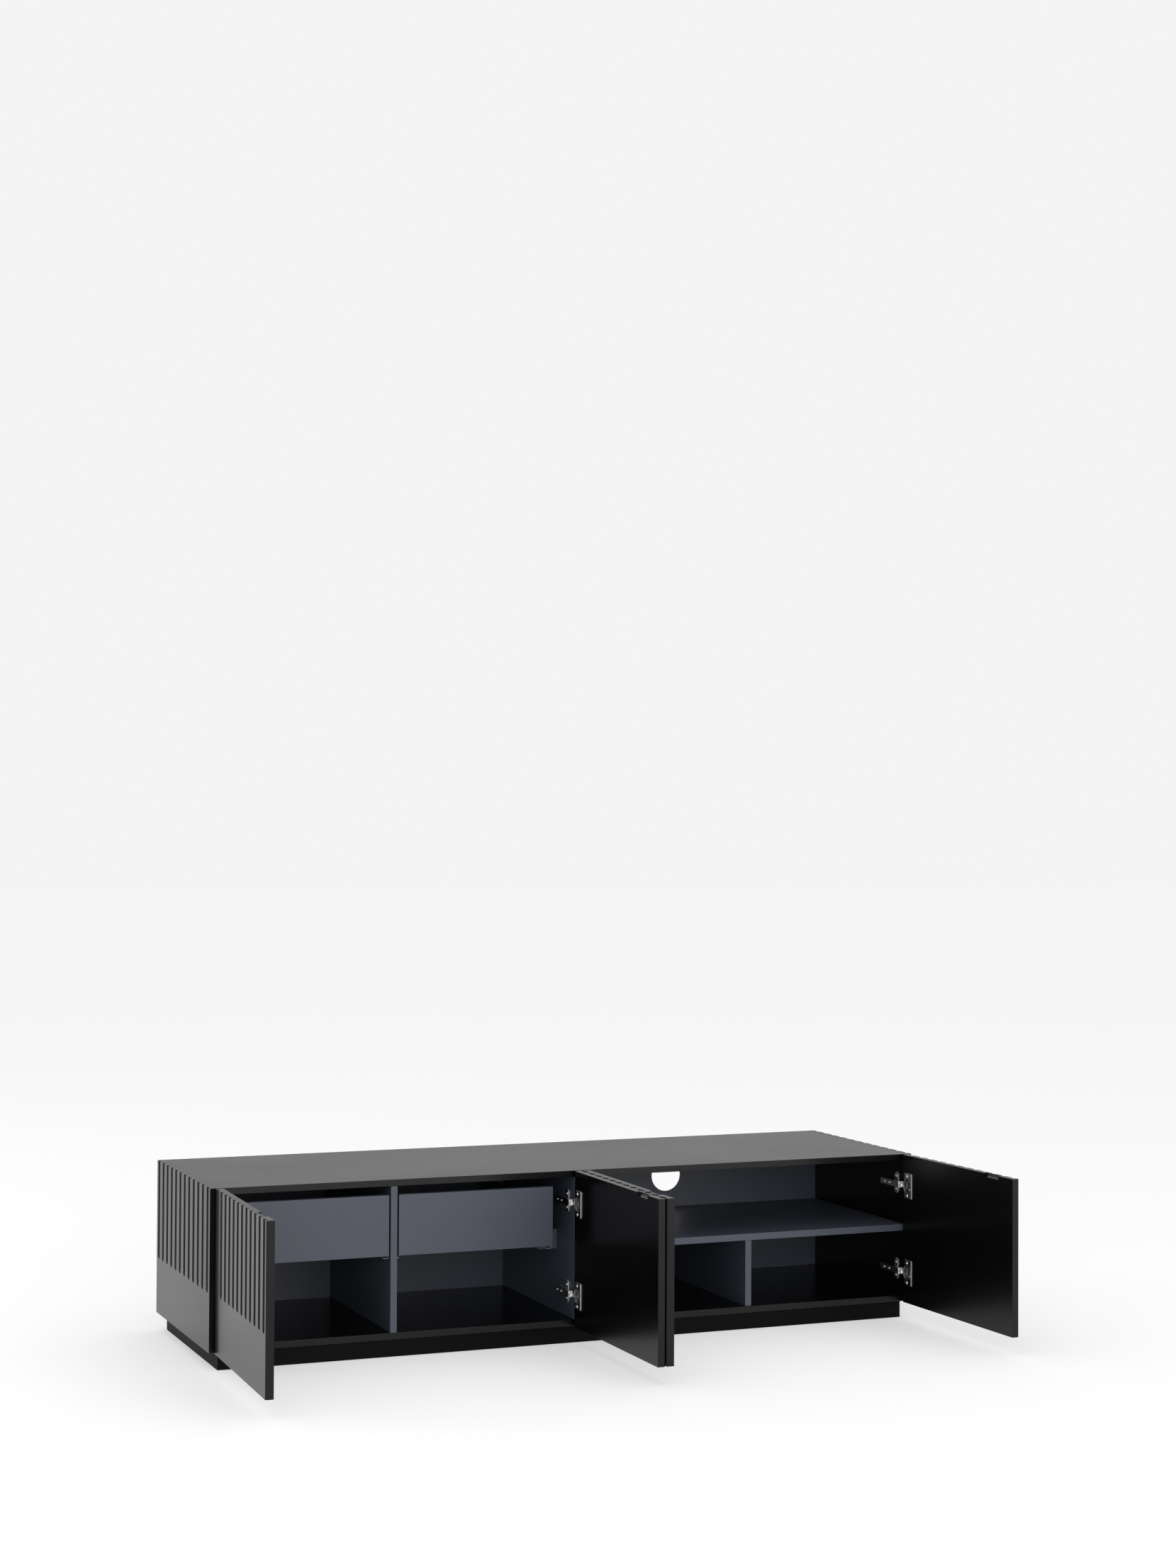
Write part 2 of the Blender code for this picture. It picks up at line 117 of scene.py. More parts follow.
# Runners
CHANNEL_LIP = 0.003
ROLLER_RADIUS = 0.0052
ROLLER_WIDTH = 0.005
ROLLER_SETBACK = 0.009
ROLLER_GAP = 0.0008
ROLLER_GROOVE = 0.0006
ROLLER_PIN_RADIUS = 0.002
ROLLER_SIDES = 40
RAIL_SCREWS = (0.040, 0.190, 0.350)  # back from the rail's front end
ANGLE_THICKNESS = 0.0015
ANGLE_ROOT = 0.002
ANGLE_SCREWS = (0.020, 0.180, 0.340)
RUNNER_SCREW_RADIUS = 0.0029

# Small edge roundings
BOARD_EDGE = 0.0005
LACQUER_EDGE = 0.0006
STEEL_EDGE = 0.0002
SHARP_ANGLE = radians(35)  # edges turned by more than this are rounded, or drawn sharp

FACE_GAP = 0.0001  # keeps faces of neighbouring bodies from coinciding
CUT_OVERRUN = 0.01  # how far a cutting body stands past the face that it cuts

# Camera: where it stands from the middle of the carcass's front at floor level, and how it's turned
CAMERA_PLACE = (-2.2905, -5.0947, 1.2040)
CAMERA_YAW = radians(-20.904)
CAMERA_PITCH = radians(1.1216)
CAMERA_ROLL = radians(0.3412)
CAMERA_LENS = 54.23
CAMERA_SHIFT = 0.0903

# Studio
FLOOR_SIZE = 80.0
FLOOR_COLOUR = (0.51, 0.51, 0.51)
FLOOR_GLOW = 0.40
BACKDROP = 0.905  # the pale backdrop itself
HORIZON_LIGHT = 0.40  # what the room gives as light, level with the cabinet
ZENITH_LIGHT = 1.30
LAMPS = (  # name, place, size and power; each is turned to the frame's origin
    ("front", (0.0, -6.5, 1.6), (12.0, 3.0), 390),
    ("left", (-5.5, 2.5, 0.8), (3.0, 1.5), 170),
)

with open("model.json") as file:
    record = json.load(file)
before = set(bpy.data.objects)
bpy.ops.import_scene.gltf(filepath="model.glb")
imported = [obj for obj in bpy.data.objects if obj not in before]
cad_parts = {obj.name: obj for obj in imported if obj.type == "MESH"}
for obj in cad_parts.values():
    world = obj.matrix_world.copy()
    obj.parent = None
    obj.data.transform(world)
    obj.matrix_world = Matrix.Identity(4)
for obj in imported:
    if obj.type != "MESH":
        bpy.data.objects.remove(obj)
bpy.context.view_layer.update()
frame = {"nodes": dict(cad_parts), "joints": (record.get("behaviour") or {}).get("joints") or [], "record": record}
FRONT_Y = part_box("top_panel")[0].y
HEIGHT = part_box("top_panel")[1].z
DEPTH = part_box("top_panel")[1].y - FRONT_Y
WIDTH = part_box("side_panel_right")[1].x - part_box("side_panel_left")[0].x
PANEL_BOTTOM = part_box("side_panel_left")[0].z
DOOR_WIDTH = (WIDTH - DOORS_ACROSS * DOOR_GAP) / DOORS_ACROSS
DOOR_MIDDLE = (HEIGHT + PANEL_BOTTOM) / 2
FLUTE_RADIUS = (FLUTE_WIDTH**2 / 4 + FLUTE_DEPTH**2) / (2 * FLUTE_DEPTH)
FLUTE_END = HEIGHT - FLUTE_SHARE * (HEIGHT - PANEL_BOTTOM)


# Shape helpers ---------------------------------------------------------------------------------


def mesh_of(shape):
    """The bmesh as a mesh with its faces pointing out."""
    bmesh.ops.recalc_face_normals(shape, faces=shape.faces)
    mesh = bpy.data.meshes.new("shape")
    shape.to_mesh(mesh)
    shape.free()
    return mesh


def join_outlines(shape, first, second):
    """A closed body between two outlines with the same number of corners."""
    lower = [shape.verts.new(corner) for corner in first]
    upper = [shape.verts.new(corner) for corner in second]
    shape.faces.new(lower)
    shape.faces.new(upper)
    for i in range(len(lower)):
        j = (i + 1) % len(lower)
        shape.faces.new((lower[i], lower[j], upper[j], upper[i]))


def add_prism(shape, outline, low, high):
    """A closed prism on the XY outline from low to high."""
    join_outlines(shape, [(x, y, low) for x, y in outline], [(x, y, high) for x, y in outline])


def add_lathe(shape, profile, centre, axis, sides):
    """A closed turned body: (radius, distance along axis) pairs, with radius 0 at both ends."""
    axis = Vector(axis).normalized()
    first = axis.orthogonal().normalized()
    second = axis.cross(first)
    rings = []
    for radius, along in profile:
        middle = Vector(centre) + axis * along
        if radius == 0:
            rings.append([shape.verts.new(middle)] * sides)
            continue
        turns = [2 * pi * (i + 0.5) / sides for i in range(sides)]
        spokes = [first * cos(turn) + second * sin(turn) for turn in turns]
        rings.append([shape.verts.new(middle + radius * spoke) for spoke in spokes])
    for near, far in zip(rings, rings[1:]):
        for i in range(sides):
            j = (i + 1) % sides
            corners = []
            for vertex in (near[i], near[j], far[j], far[i]):
                if vertex not in corners:
                    corners.append(vertex)
            shape.faces.new(corners)


def bar_profile(radius, start, end):
    """The profile of a plain round bar for add_lathe."""
    return [(0, start), (radius, start), (radius, end), (0, end)]


def add_groove(shape, x, y):
    """An upright round bar with a domed lower end, which cuts one flute."""
    profile = [(0, 0)]
    for ring in range(1, FLUTE_END_RINGS + 1):
        angle = pi / 2 * ring / FLUTE_END_RINGS
        profile.append((FLUTE_RADIUS * sin(angle), FLUTE_RADIUS * (1 - cos(angle))))
    top = HEIGHT + FLUTE_RADIUS - FLUTE_END
    profile += [(FLUTE_RADIUS, top), (0, top)]
    add_lathe(shape, profile, (x, y, FLUTE_END), (0, 0, 1), FLUTE_SIDES)


def rounded_outline(width, height, radius, steps=6):
    """A rectangle about the origin with round corners."""
    outline = []
    for sx, sy, start in ((1, 1, 0), (-1, 1, 90), (-1, -1, 180), (1, -1, 270)):
        for i in range(steps + 1):
            angle = radians(start + 90 * i / steps)
            x = sx * (width / 2 - radius) + radius * cos(angle)
            outline.append((x, sy * (height / 2 - radius) + radius * sin(angle)))
    return outline


def add_plate(shape, outline, low, high):
    """A closed plate on the XZ outline, from y = low to y = high."""
    join_outlines(shape, [(x, low, z) for x, z in outline], [(x, high, z) for x, z in outline])


def add_box(shape, low, high):
    outline = [(low[0], low[1]), (high[0], low[1]), (high[0], high[1]), (low[0], high[1])]
    add_prism(shape, outline, low[2], high[2])


def add_screw(shape, place, axis, radius=SCREW_RADIUS):
    """A screw's head with a cross recess, its flat side at place and its crown along axis."""
    height = radius * SCREW_CROWN
    dome = bmesh.new()
    profile = [(0, -height / 2), (radius, -height / 2), (radius, 0)]
    profile += [(radius * cos(t), height * sin(t)) for t in (pi / 8, pi / 4, 3 * pi / 8)]
    add_lathe(dome, profile + [(0, height)], (0, 0, 0), (0, 0, 1), SCREW_SIDES)
    cross = bmesh.new()
    arm = radius * SCREW_CROSS[0]
    slot = radius * SCREW_CROSS[1]
    add_box(cross, (-arm, -slot, height * CROSS_FLOOR), (arm, slot, height * 2))
    add_box(cross, (-slot, -arm, height * CROSS_FLOOR), (slot, arm, height * 2))
    head = combined(mesh_of(dome), mesh_of(cross), "DIFFERENCE")
    turn = Vector(axis).to_track_quat("Z", "Y").to_matrix().to_4x4()
    head.transform(Matrix.Translation(place) @ turn)
    shape.from_mesh(head)


def combined(base, tool, operation):
    """The mesh of base with tool joined to it or cut from it."""
    owner = bpy.data.objects.new("base", base)
    helper = bpy.data.objects.new("tool", tool)
    for temporary in (owner, helper):
        bpy.context.scene.collection.objects.link(temporary)
    modifier = owner.modifiers.new("combine", "BOOLEAN")
    modifier.operation = operation
    modifier.object = helper
    modifier.use_self = True
    bpy.context.view_layer.update()
    evaluated = owner.evaluated_get(bpy.context.evaluated_depsgraph_get())
    result = bpy.data.meshes.new_from_object(evaluated)
    for temporary in (owner, helper):
        bpy.data.objects.remove(temporary, do_unlink=True)
    return result


def piece(name, mesh, matrix, finish, body, slot, nodes=(), edge=0.0):
    """A named piece put in place, with small rounded edges, that rides on a body."""
    mesh.name = name
    mesh.transform(matrix)
    if matrix.determinant() < 0:
        mesh.flip_normals()
    mesh.materials.clear()
    mesh.materials.append(finish)
    mesh.shade_smooth()
    made = bpy.data.objects.new(name, mesh)
    bpy.context.scene.collection.objects.link(made)
    if edge:
        round_edges(made, edge)
    else:
        mesh.set_sharp_from_angle(angle=SHARP_ANGLE)
    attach(made, body)
    if nodes:
        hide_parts(*nodes)
    return made


def round_edges(thing, width):
    bevel = thing.modifiers.new("edges", "BEVEL")
    bevel.width = width
    bevel.segments = 2
    bevel.limit_method = "ANGLE"
    bevel.angle_limit = SHARP_ANGLE
    bevel.harden_normals = True


# Finishes --------------------------------------------------------------------------------------


def shader_node(tree, kind, **settings):
    """A new node with the given properties and unlinked input values."""
    made = tree.nodes.new(kind)
    for key, value in settings.items():
        name = key.replace("_", " ")
        if name in made.inputs:
            made.inputs[name].default_value = value
        else:
            setattr(made, key, value)
    return made


def fine_finish(name, dark, light, rough, fleck_scale, bump, metallic=0.0, stretch=(1, 1, 1), **gloss):
    """A finish with faint cloudy variation in colour and gloss, and a fine surface texture."""
    made = bpy.data.materials.new(name)
    made.use_nodes = True
    tree = made.node_tree
    shader = tree.nodes["Principled BSDF"]
    shader.inputs["Metallic"].default_value = metallic
    for key, value in gloss.items():
        shader.inputs[key.replace("_", " ")].default_value = value
    place = shader_node(tree, "ShaderNodeTexCoord")
    mapping = shader_node(tree, "ShaderNodeMapping", Scale=stretch)
    tree.links.new(place.outputs["Object"], mapping.inputs["Vector"])
    clouds = shader_node(tree, "ShaderNodeTexNoise", Scale=3.0, Detail=4.0)
    flecks = shader_node(tree, "ShaderNodeTexNoise", Scale=fleck_scale, Detail=3.0)
    for noise in (clouds, flecks):
        tree.links.new(mapping.outputs["Vector"], noise.inputs["Vector"])
    mixed = shader_node(tree, "ShaderNodeMath", operation="ADD")
    tree.links.new(clouds.outputs["Fac"], mixed.inputs[0])
    tree.links.new(flecks.outputs["Fac"], mixed.inputs[1])
    tint = shader_node(tree, "ShaderNodeMapRange", From_Min=0.7, From_Max=1.3)
    tree.links.new(mixed.outputs["Value"], tint.inputs["Value"])
    colour = shader_node(tree, "ShaderNodeValToRGB")
    colour.color_ramp.elements[0].color = (*dark, 1)
    colour.color_ramp.elements[1].color = (*light, 1)
    tree.links.new(tint.outputs["Result"], colour.inputs["Fac"])
    tree.links.new(colour.outputs["Color"], shader.inputs["Base Color"])
    gloss_range = shader_node(tree, "ShaderNodeMapRange", To_Min=rough[0], To_Max=rough[1])
    tree.links.new(tint.outputs["Result"], gloss_range.inputs["Value"])
    tree.links.new(gloss_range.outputs["Result"], shader.inputs["Roughness"])
    relief = shader_node(tree, "ShaderNodeBump", Strength=bump, Distance=0.0002)
    tree.links.new(flecks.outputs["Fac"], relief.inputs["Height"])
    tree.links.new(relief.outputs["Normal"], shader.inputs["Normal"])
    return made


LACQUER = fine_finish(
    "black_lacquer", (0.0010, 0.0010, 0.0010), (0.0018, 0.0018, 0.0018), (0.19, 0.26), 900, 0.03, IOR=1.34
)
PLINTH_BLACK = fine_finish(
    "plinth_black", (0.0010, 0.0010, 0.0010), (0.0018, 0.0018, 0.0018), (0.50, 0.60), 1200, 0.08, IOR=1.15
)
GRAPHITE = fine_finish(
    "graphite_board", (0.032, 0.037, 0.051), (0.041, 0.047, 0.065), (0.42, 0.54), 1400, 0.10, IOR=1.45
)
NICKEL = fine_finish(
    "nickel", (0.74, 0.73, 0.71), (0.84, 0.83, 0.81), (0.14, 0.24), 600, 0.03, metallic=1.0
)
ZINC = fine_finish(
    "zinc_casting", (0.84, 0.84, 0.83), (0.92, 0.92, 0.91), (0.34, 0.44), 900, 0.05, metallic=0.6
)
STEEL = fine_finish(
    "runner_steel", (0.20, 0.21, 0.23), (0.26, 0.27, 0.29), (0.35, 0.45), 800, 0.05, metallic=0.5
)
DAMPER_GREY = fine_finish(
    "damper_grey", (0.020, 0.020, 0.021), (0.035, 0.035, 0.036), (0.40, 0.55), 1500, 0.10
)


def finish_cut_edges(made, across):
    """Gives a sheet-metal piece a duller finish on the faces that don't lie in the sheet."""
    made.data.materials.append(ZINC)
    for face in made.data.polygons:
        if abs(face.normal.dot(across)) < 0.5:
            face.material_index = 1


def dress_packed_boards():
    """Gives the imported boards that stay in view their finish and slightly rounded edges."""
    finishes = {"black_lacquer": LACQUER, "graphite_board": GRAPHITE}
    for row in frame["record"]["subparts"]:
        node = frame["nodes"][row["node"]]
        if node.hide_render:
            continue
        finish = finishes[row["material_slot"]]
        if row["node"].startswith("plinth"):
            finish = PLINTH_BLACK
        node.data.materials.clear()
        node.data.materials.append(finish)
        weld = node.modifiers.new("weld", "WELD")
        weld.merge_threshold = 0.00001
        round_edges(node, BOARD_EDGE)


# Fluted panels and doors -----------------------------------------------------------------------


def fluted(outline, width, thickness, cutters=None):
    """An upright board on the outline, with flutes in its far face at y = thickness."""
    board = bmesh.new()
    add_prism(board, outline, PANEL_BOTTOM, HEIGHT)
    bars = bmesh.new()
    for i in range(FLUTES):
        add_groove(bars, (i + 0.5) * width / FLUTES, thickness + FLUTE_RADIUS - FLUTE_DEPTH)
    if cutters:
        cutters(bars)
    return combined(mesh_of(board), mesh_of(bars), "DIFFERENCE")


def side_panels():
    thickness = WIDTH / 2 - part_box("side_panel_right")[0].x
    outline = [(0, 0), (DEPTH, 0), (DEPTH, thickness), (0, thickness)]
    for label, side in (("left", -1), ("right", 1)):
        mesh = fluted(outline, DEPTH, thickness)
        inner_x = side * (WIDTH / 2 - thickness)
        matrix = Matrix(((0, side, 0, inner_x), (1, 0, 0, FRONT_Y), (0, 0, 1, 0), (0, 0, 0, 1)))
        name = f"side_panel_{label}"
        piece(f"fluted_{name}", mesh, matrix, LACQUER, "cabinet", "black_lacquer", [name], LACQUER_EDGE)


def door_cutters(bars):
    """Adds a door's cup pockets and finger notch to the bars that cut its flutes."""
    for z in hinge_heights():
        profile = bar_profile(POCKET_RADIUS, -CUT_OVERRUN, POCKET_DEPTH)
        add_lathe(bars, profile, (CUP_INSET, 0, z), (0, 1, 0), NOTCH_SIDES)
    end = DOOR_WIDTH - NOTCH_FROM_FREE_EDGE
    profile = bar_profile(NOTCH_RADIUS, -NOTCH_LENGTH, 0)
    add_lathe(bars, profile, (end, 0, HEIGHT), (1, 0, 0), NOTCH_SIDES)


def hinge_heights():
    return DOOR_MIDDLE + HINGE_SPREAD, DOOR_MIDDLE - HINGE_SPREAD


def door_matrix(joint, pivot):
    """From a door drawn closed, x across and y out from its inner face, to where it stands open."""
    side = -1 if joint["axis"][2] > 0 else 1
    open_angle = radians(-joint["range_deg"][0])
    rows = ((side, 0, 0, -side * pivot[0]), (0, -1, 0, pivot[1] - DOOR_GAP), (0, 0, 1, 0), (0, 0, 0, 1))
    closed = Matrix(rows)
    x, y, _ = joint["pos_m"]
    return Matrix.Translation((x, y, 0)) @ Matrix.Rotation(-side * open_angle, 4, "Z") @ closed


def hinge_joints():
    """Each door's joint with its label and its kind, outer or middle."""
    for joint in frame["joints"]:
        if joint["type"] == "hinge":
            label = joint["name"].replace("hinge_", "")
            yield joint, label, label.split("_")[0]


def doors():
    cut = DOOR_CHAMFER
    outline = [
        (0, cut),
        (cut, 0),
        (DOOR_WIDTH, 0),
        (DOOR_WIDTH, DOOR_THICKNESS - cut),
        (DOOR_WIDTH - cut, DOOR_THICKNESS),
        (cut, DOOR_THICKNESS),
        (0, DOOR_THICKNESS - cut),
    ]
    for joint, label, kind in hinge_joints():
        matrix = door_matrix(joint, PIVOTS[kind])
        mesh = fluted(outline, DOOR_WIDTH, DOOR_THICKNESS, door_cutters)
        name = f"door_{label}"
        leaf = joint["child"]
        piece(f"fluted_{name}", mesh, matrix, LACQUER, leaf, "black_lacquer", [name], LACQUER_EDGE)


# Hinges ----------------------------------------------------------------------------------------


def flange_mesh(z):
    """The plate round a hinge's cup, x across, y out from the door's inner face and z up."""
    flange = bmesh.new()
    outline = rounded_outline(sum(FLANGE_REACH), FLANGE_HEIGHT, FLANGE_CORNER)
    middle = CUP_INSET + (FLANGE_REACH[1] - FLANGE_REACH[0]) / 2
    outline = [(middle + x, z + upright) for x, upright in outline]
    add_plate(flange, outline, -FLANGE_SEAT - FLANGE_THICKNESS, -FLANGE_SEAT)
    hole = bmesh.new()
    profile = bar_profile(CUP_RADIUS + FACE_GAP, -CUT_OVERRUN, CUT_OVERRUN)
    add_lathe(hole, profile, (CUP_INSET, 0, z), (0, 1, 0), CUP_SIDES)
    shape = bmesh.new()
    shape.from_mesh(combined(mesh_of(flange), mesh_of(hole), "DIFFERENCE"))
    for step in (-1, 1):
        place = (CUP_INSET, -FLANGE_SEAT - FLANGE_THICKNESS, z + step * CUP_SCREWS)
        add_screw(shape, place, (0, -1, 0))
    return mesh_of(shape)


def cup_mesh(z):
    """A hinge's turned cup, with a small slope round its floor inside and out."""
    inner = CUP_RADIUS - CUP_WALL
    floor = CUP_DEPTH - CUP_WALL
    rim = FLANGE_SEAT + FLANGE_THICKNESS
    profile = [(0, floor), (inner - CUP_FILLET, floor), (inner, floor - CUP_FILLET), (inner, -rim)]
    profile += [(CUP_RADIUS, -rim), (CUP_RADIUS, CUP_DEPTH - CUP_FILLET)]
    profile += [(CUP_RADIUS - CUP_FILLET, CUP_DEPTH), (0, CUP_DEPTH)]
    shape = bmesh.new()
    add_lathe(shape, profile, (CUP_INSET, 0, z), (0, 1, 0), CUP_SIDES)
    return mesh_of(shape)


def damper_mesh(z):
    """The damper's housing at the bottom of the cup, with the links' pin across it."""
    shape = bmesh.new()
    housing = rounded_outline(*DAMPER_SIZE, DAMPER_CORNER)
    outline = [(DAMPER_INSET + x, z + upright) for x, upright in housing]
    add_plate(shape, outline, DAMPER_TOP, CUP_DEPTH - CUP_WALL)
    profile = bar_profile(PIN_RADIUS, -PIN_LENGTH / 2, PIN_LENGTH / 2)
    add_lathe(shape, profile, (PIN_INSET, PIN_DEPTH, z), (0, 0, 1), PIN_SIDES)
    return mesh_of(shape)


def arm_mesh(face, top):
    """A hinge's arm over its mounting plate, x across from the door's edge plane and y out."""
    half = ARM_HALF_HEIGHT
    back = -ARM_REAR
    front = ARM_FRONT - ARM_END_DEPTH
    crown = bmesh.new()
    add_box(crown, (top - SHEET, back, -half), (top, front, half))
    side = [
        (face + ARM_CLEARANCE, -ARM_CUT_SETBACKS[0]),
        (face + ARM_CLEARANCE, -ARM_CUT_SETBACKS[1]),
        (face + ARM_CUTS[1], back),
        (top - SHEET, back),
        (top - SHEET, front),
        (face + ARM_CUTS[0], front),
    ]
    sides = bmesh.new()
    for low, high in ((-half, -half + SHEET), (half - SHEET, half)):
        add_prism(sides, side, low, high)
    shape = bmesh.new()
    shape.from_mesh(combined(mesh_of(crown), mesh_of(sides), "UNION"))
    for setback in ARM_SCREWS:
        add_screw(shape, (top, -setback, 0), (1, 0, 0), ARM_SCREW_RADIUS)
    return mesh_of(shape)


def arm_end_mesh(face, top, nose):
    """The cast end that closes the arm's front, ribbed across, with the nose that enters the cup."""
    near, reach = nose
    half = ARM_HALF_HEIGHT
    start = ARM_FRONT - RIB_HEIGHT
    inner = face + ARM_CLEARANCE
    shape = bmesh.new()
    add_box(shape, (inner, ARM_FRONT - ARM_END_DEPTH + FACE_GAP, -half), (top, start, half))
    outline = [(inner + RIB_SLOPE, start), (top - RIB_SLOPE, start)]
    outline += [(top - 2 * RIB_SLOPE, ARM_FRONT), (inner + 2 * RIB_SLOPE, ARM_FRONT)]
    for rib in range(RIBS):
        z = half * (2 * rib + 1 - RIBS) / RIBS
        add_prism(shape, outline, z - RIB_HALF_WIDTH, z + RIB_HALF_WIDTH)
    root, shoulder, tip = (top - inset for inset in NOSE_INSETS)
    outline = [(near, start), (root, start), (shoulder, reach - NOSE_SHOULDER)]
    outline += [(tip, reach), (near, reach)]
    add_prism(shape, outline, -NOSE_HALF_HEIGHT, NOSE_HALF_HEIGHT)
    return mesh_of(shape)


def plate_mesh(face):
    """The mounting plate against the upright board, with its two wings and screws."""
    wings = [(x - PLATE_SETBACK, z) for x, z in rounded_outline(*PLATE_SIZE, PLATE_CORNER, 10)]
    spine = [(x - SPINE_SETBACK, z) for x, z in rounded_outline(*SPINE_SIZE, SPINE_CORNER)]
    seat = face + FLANGE_SEAT
    shape = bmesh.new()
    add_plate(shape, wings, seat, seat + PLATE_THICKNESS)
    add_plate(shape, spine, seat + FACE_GAP, seat + PLATE_THICKNESS + SPINE_RISE)
    swap = Matrix(((0, 1, 0, 0), (1, 0, 0, 0), (0, 0, 1, 0), (0, 0, 0, 1)))
    shape.transform(swap)
    for step in (-1, 1):
        add_screw(shape, (seat + PLATE_THICKNESS, -PLATE_SETBACK, step * PLATE_SCREWS), (1, 0, 0))
    return mesh_of(shape)


def hinges():
    side_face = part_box("side_panel_right")[0].x
    partition_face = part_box("partition_right")[1].x
    for joint, label, kind in hinge_joints():
        pivot = PIVOTS[kind]
        top = ARM_TOPS[kind]
        side = -1 if joint["axis"][2] > 0 else 1
        edge_x = joint["pos_m"][0] - side * pivot[0]
        face = abs(edge_x) - side_face if kind == "outer" else partition_face - abs(edge_x)
        opened = door_matrix(joint, pivot)
        for position, z in zip(("upper", "lower"), hinge_heights()):
            name = f"{label}_{position}"
            leaf = (joint["child"], "nickel_steel")
            fixed = ("cabinet", "nickel_steel")
            piece(f"cup_{name}", cup_mesh(z), opened, NICKEL, *leaf, [f"hinge_cup_{name}"], STEEL_EDGE)
            piece(f"damper_{name}", damper_mesh(z), opened, DAMPER_GREY, *leaf)
            flange = piece(f"flange_{name}", flange_mesh(z), opened, NICKEL, *leaf, (), STEEL_EDGE)
            finish_cut_edges(flange, opened.to_3x3() @ Vector((0, 1, 0)))
            beside = Matrix(((side, 0, 0, edge_x), (0, -1, 0, FRONT_Y), (0, 0, 1, z), (0, 0, 0, 1)))
            arm = arm_mesh(face, top)
            piece(f"arm_{name}", arm, beside, NICKEL, *fixed, [f"hinge_arm_{name}"], STEEL_EDGE)
            end = arm_end_mesh(face, top, NOSES[kind])
            piece(f"arm_end_{name}", end, beside, ZINC, *fixed, (), STEEL_EDGE)
            sheet = plate_mesh(face)
            plate = piece(f"mounting_plate_{name}", sheet, beside, NICKEL, *fixed, (), STEEL_EDGE)
            finish_cut_edges(plate, Vector((1, 0, 0)))


# Runners ---------------------------------------------------------------------------------------


def rail_mesh(low, high, side):
    """A runner's channel, open towards the drawer on that side of it, with its screws."""
    outer, inner = (low.x, high.x) if side > 0 else (high.x, low.x)
    sheet = side * SHEET
    outline = [
        (outer, low.z),
        (inner, low.z),
        (inner, low.z + CHANNEL_LIP),
        (inner - sheet, low.z + CHANNEL_LIP),
        (inner - sheet, low.z + SHEET),
        (outer + sheet, low.z + SHEET),
        (outer + sheet, high.z - SHEET),
        (inner - sheet, high.z - SHEET),
        (inner - sheet, high.z - CHANNEL_LIP),
        (inner, high.z - CHANNEL_LIP),
        (inner, high.z),
        (outer, high.z),
    ]
    shape = bmesh.new()
    add_plate(shape, outline, low.y, high.y)
    middle = (low.z + high.z) / 2
    for setback in RAIL_SCREWS:
        add_screw(shape, (outer + sheet, low.y + setback, middle), (side, 0, 0), RUNNER_SCREW_RADIUS)
    return mesh_of(shape)


def roller_mesh(low, high, side):
    """The roller at the front of a rail, with a shallow groove round it, on a short pin."""
    outer = low.x if side > 0 else high.x
    start = (outer + side * SHEET, low.y + ROLLER_SETBACK, (low.z + high.z) / 2)
    rim = ROLLER_GROOVE
    gap = ROLLER_GAP
    end = gap + ROLLER_WIDTH
    pin = ROLLER_PIN_RADIUS
    profile = [(0, 0), (pin, 0), (pin, gap), (ROLLER_RADIUS - rim, gap), (ROLLER_RADIUS, gap + rim)]
    profile += [(ROLLER_RADIUS, gap + 2 * rim), (ROLLER_RADIUS - rim, gap + 3 * rim)]
    profile += [(ROLLER_RADIUS - rim, end - 3 * rim), (ROLLER_RADIUS, end - 2 * rim)]
    profile += [(ROLLER_RADIUS, end - rim), (ROLLER_RADIUS - rim, end), (pin, end)]
    profile += [(pin, end + rim), (0, end + rim)]
    shape = bmesh.new()
    add_lathe(shape, profile, start, (side, 0, 0), ROLLER_SIDES)
    return mesh_of(shape)


def angle_mesh(low, high, side):
    """A drawer's steel angle with a rounded root, its upright leg on that side, and its screws."""
    leg, tip = (high.x, low.x) if side > 0 else (low.x, high.x)
    face = leg - side * ANGLE_THICKNESS
    top = low.z + ANGLE_THICKNESS
    root = ANGLE_ROOT
    outline = [(leg, low.z), (tip, low.z), (tip, top)]
    for step in range(5):
        turn = pi / 2 * step / 4
        outline.append((face - side * root * (1 - sin(turn)), top + root * (1 - cos(turn))))
    outline += [(face, high.z), (leg, high.z)]
    shape = bmesh.new()
    add_plate(shape, outline, low.y, high.y)
    for setback in ANGLE_SCREWS:
        place = (face, low.y + setback, (low.z + root + high.z) / 2)
        add_screw(shape, place, (-side, 0, 0), RUNNER_SCREW_RADIUS)
    return mesh_of(shape)


def runners():
    still = Matrix.Identity(4)
    for drawer in ("left", "right"):
        front_low, front_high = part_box(f"drawer_{drawer}_front")
        middle = (front_low.x + front_high.x) / 2
        for kind in ("packer", "divider"):
            label = f"{drawer}_{kind}"
            low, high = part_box(f"runner_rail_{label}")
            side = 1 if low.x < middle else -1
            fixed = ("cabinet", "grey_steel")
            rail = rail_mesh(low, high, side)
            piece(f"rail_{label}", rail, still, STEEL, *fixed, [f"runner_rail_{label}"], STEEL_EDGE)
            piece(f"roller_{label}", roller_mesh(low, high, side), still, DAMPER_GREY, *fixed)
            sliding = (f"drawer_{drawer}", "grey_steel")
            angle = angle_mesh(*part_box(f"runner_angle_{label}"), side)
            piece(f"angle_{label}", angle, still, STEEL, *sliding, [f"runner_angle_{label}"], STEEL_EDGE)


# Studio and camera -----------------------------------------------------------------------------


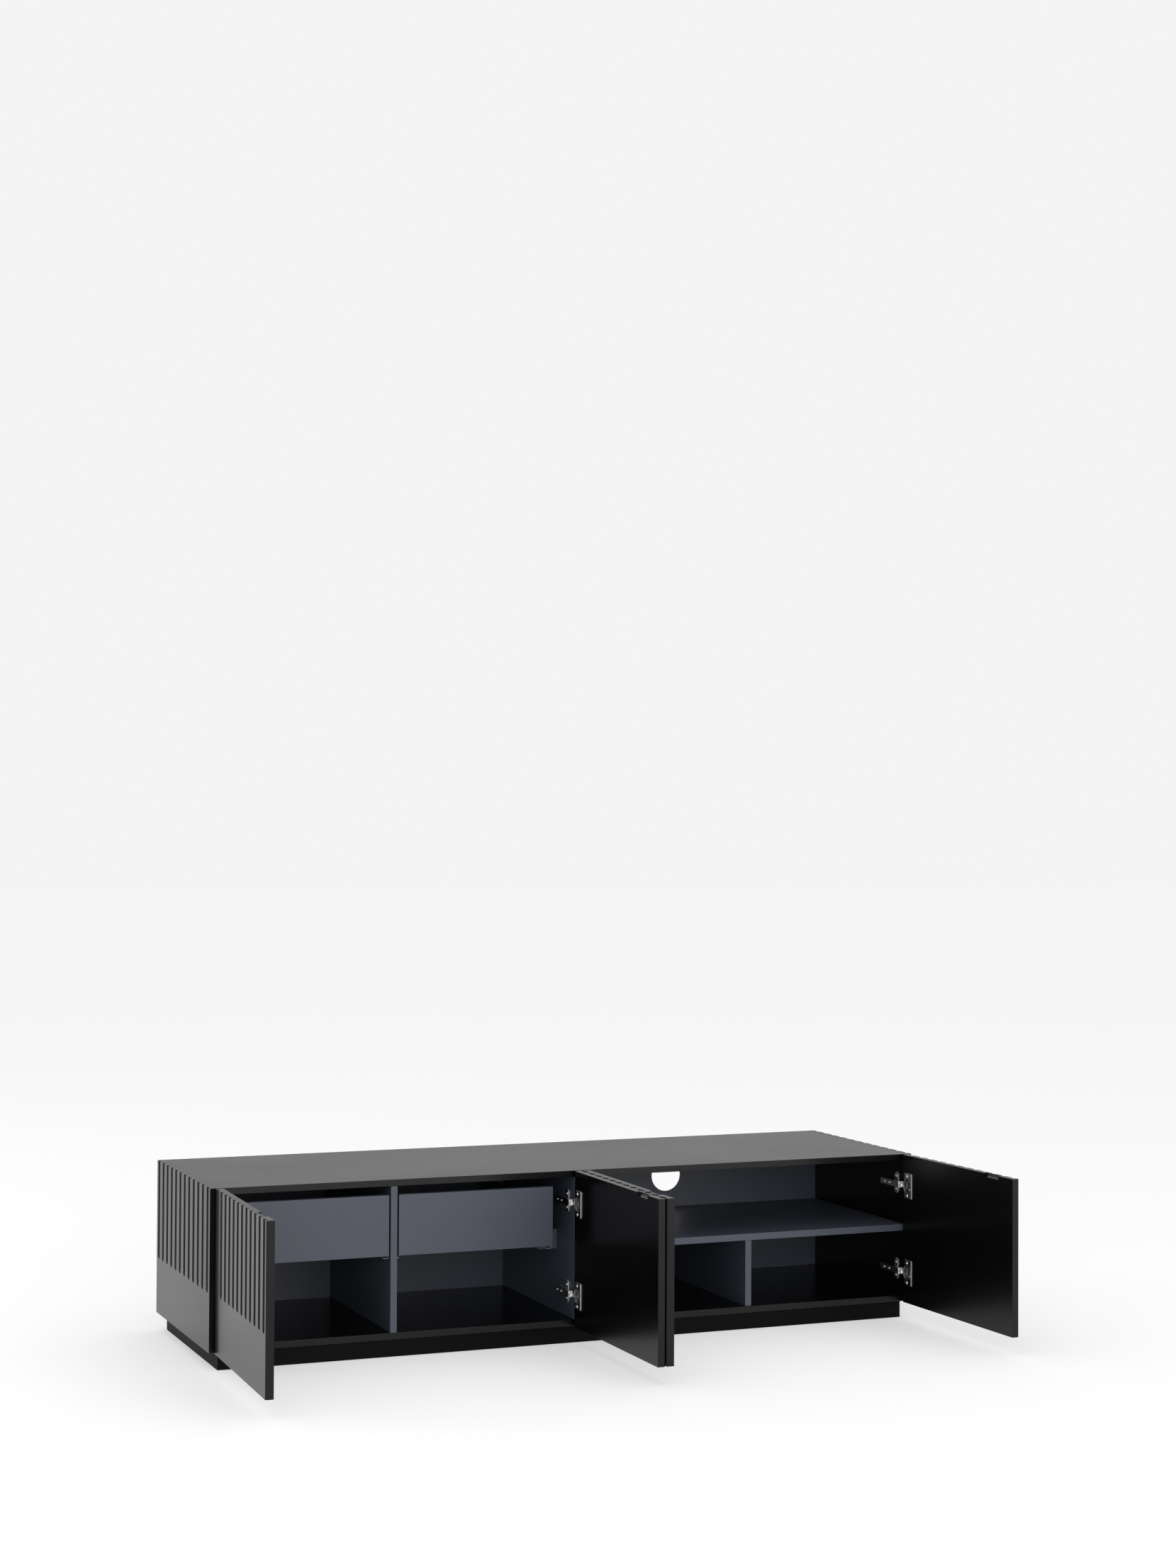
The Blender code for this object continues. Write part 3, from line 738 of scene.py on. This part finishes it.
def studio():
    shape = bmesh.new()
    half = FLOOR_SIZE / 2
    outline = ((-half, -half), (half, -half), (half, half), (-half, half))
    shape.faces.new([shape.verts.new((x, y, 0)) for x, y in outline])
    floor = bpy.data.objects.new("floor", mesh_of(shape))
    bpy.context.scene.collection.objects.link(floor)
    paint = bpy.data.materials.new("floor_paint")
    paint.use_nodes = True
    shader = paint.node_tree.nodes["Principled BSDF"]
    shader.inputs["Base Color"].default_value = (*FLOOR_COLOUR, 1)
    shader.inputs["Roughness"].default_value = 0.9
    shader.inputs["Specular IOR Level"].default_value = 0.0
    shader.inputs["Emission Color"].default_value = (1, 1, 1, 1)
    shader.inputs["Emission Strength"].default_value = FLOOR_GLOW
    floor.data.materials.append(paint)
    world = bpy.data.worlds.new("studio")
    world.use_nodes = True
    tree = world.node_tree
    background = tree.nodes["Background"]
    background.inputs["Color"].default_value = (1, 1, 1, 1)
    path = shader_node(tree, "ShaderNodeLightPath")
    direction = shader_node(tree, "ShaderNodeTexCoord")
    split = shader_node(tree, "ShaderNodeSeparateXYZ")
    tree.links.new(direction.outputs["Generated"], split.inputs[0])
    room = shader_node(tree, "ShaderNodeMapRange", To_Min=HORIZON_LIGHT, To_Max=ZENITH_LIGHT)
    tree.links.new(split.outputs["Z"], room.inputs["Value"])
    strength = shader_node(tree, "ShaderNodeMapRange", To_Max=BACKDROP)
    tree.links.new(path.outputs["Is Camera Ray"], strength.inputs["Value"])
    tree.links.new(room.outputs["Result"], strength.inputs["To Min"])
    tree.links.new(strength.outputs["Result"], background.inputs["Strength"])
    bpy.context.scene.world = world
    for name, place, size, power in LAMPS:
        light = bpy.data.lights.new(name, "AREA")
        light.shape = "RECTANGLE"
        light.size, light.size_y = size
        light.energy = power
        lamp = bpy.data.objects.new(name, light)
        lamp.location = place
        lamp.rotation_mode = "QUATERNION"
        lamp.rotation_quaternion = (-Vector(place)).to_track_quat("-Z", "Y")
        bpy.context.scene.collection.objects.link(lamp)


def camera():
    data = bpy.data.cameras.new("camera")
    data.lens = CAMERA_LENS
    data.shift_x = CAMERA_SHIFT
    data.clip_end = 200
    made = bpy.data.objects.new("camera", data)
    x, y, z = CAMERA_PLACE
    turn = Matrix.Rotation(CAMERA_YAW, 4, "Z") @ Matrix.Rotation(pi / 2 + CAMERA_PITCH, 4, "X")
    roll = Matrix.Rotation(CAMERA_ROLL, 4, "Z")
    made.matrix_world = Matrix.Translation((x, FRONT_Y + y, z)) @ turn @ roll
    bpy.context.scene.collection.objects.link(made)
    bpy.context.scene.camera = made


side_panels()
doors()
hinges()
runners()
dress_packed_boards()
studio()
camera()
bpy.context.scene.view_settings.view_transform = "Standard"
